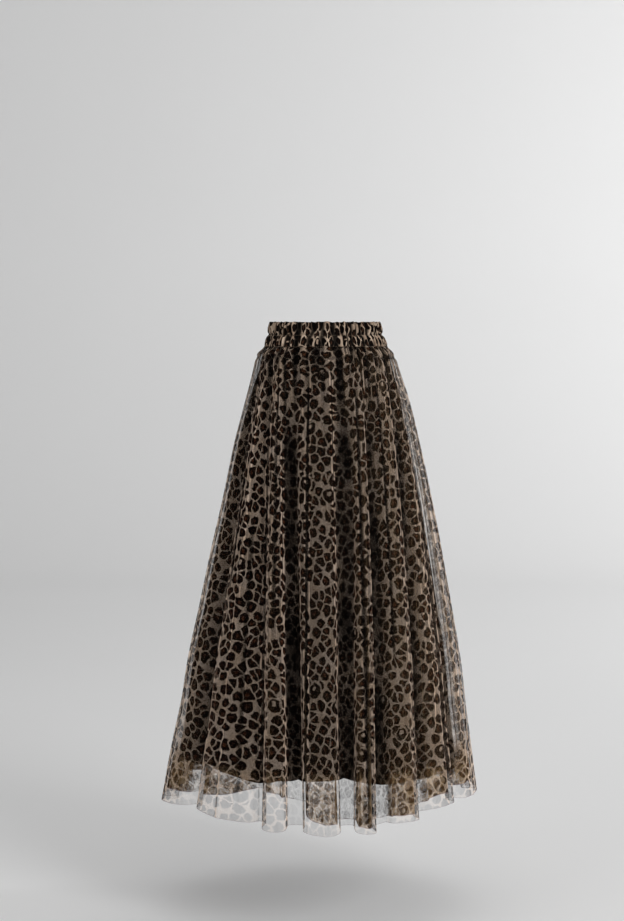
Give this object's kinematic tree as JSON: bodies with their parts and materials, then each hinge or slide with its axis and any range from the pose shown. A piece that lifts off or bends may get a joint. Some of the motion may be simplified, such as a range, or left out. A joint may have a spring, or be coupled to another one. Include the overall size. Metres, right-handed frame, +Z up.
{
  "type": "worn tulle maxi skirt with elastic waistband",
  "caption": "Full A-line maxi skirt: two sheer printed tulle layers over a shorter black lining, gathered to a shirred elastic waistband and held open as worn.",
  "frame": {"origin": "centre of the waist, level with the stitch line between the two elastic channels", "axes": "+Z up towards the waist's top edge, the front faces -Y, and +X is to the right as the front is seen"},
  "size_m": [0.6519, 0.6393, 0.99],
  "materials": {
    "waistband": "printed tulle over black cloth, shirred over two elastic channels, dark animal spots on beige",
    "outer_tulle": "fine sheer tulle printed with dark animal spots on a beige network",
    "inner_tulle": "fine sheer tulle printed with dark animal spots on a beige network",
    "lining": "opaque, plain black, softly lustrous lining cloth"
  },
  "bodies": {
    "root": {"waistband_front": "waistband", "waistband_back": "waistband", "outer_tulle_front": "outer_tulle", "outer_tulle_back": "outer_tulle", "inner_tulle_front": "inner_tulle", "inner_tulle_back": "inner_tulle", "lining_front": "lining", "lining_back": "lining"}
  },
  "joints": []
}
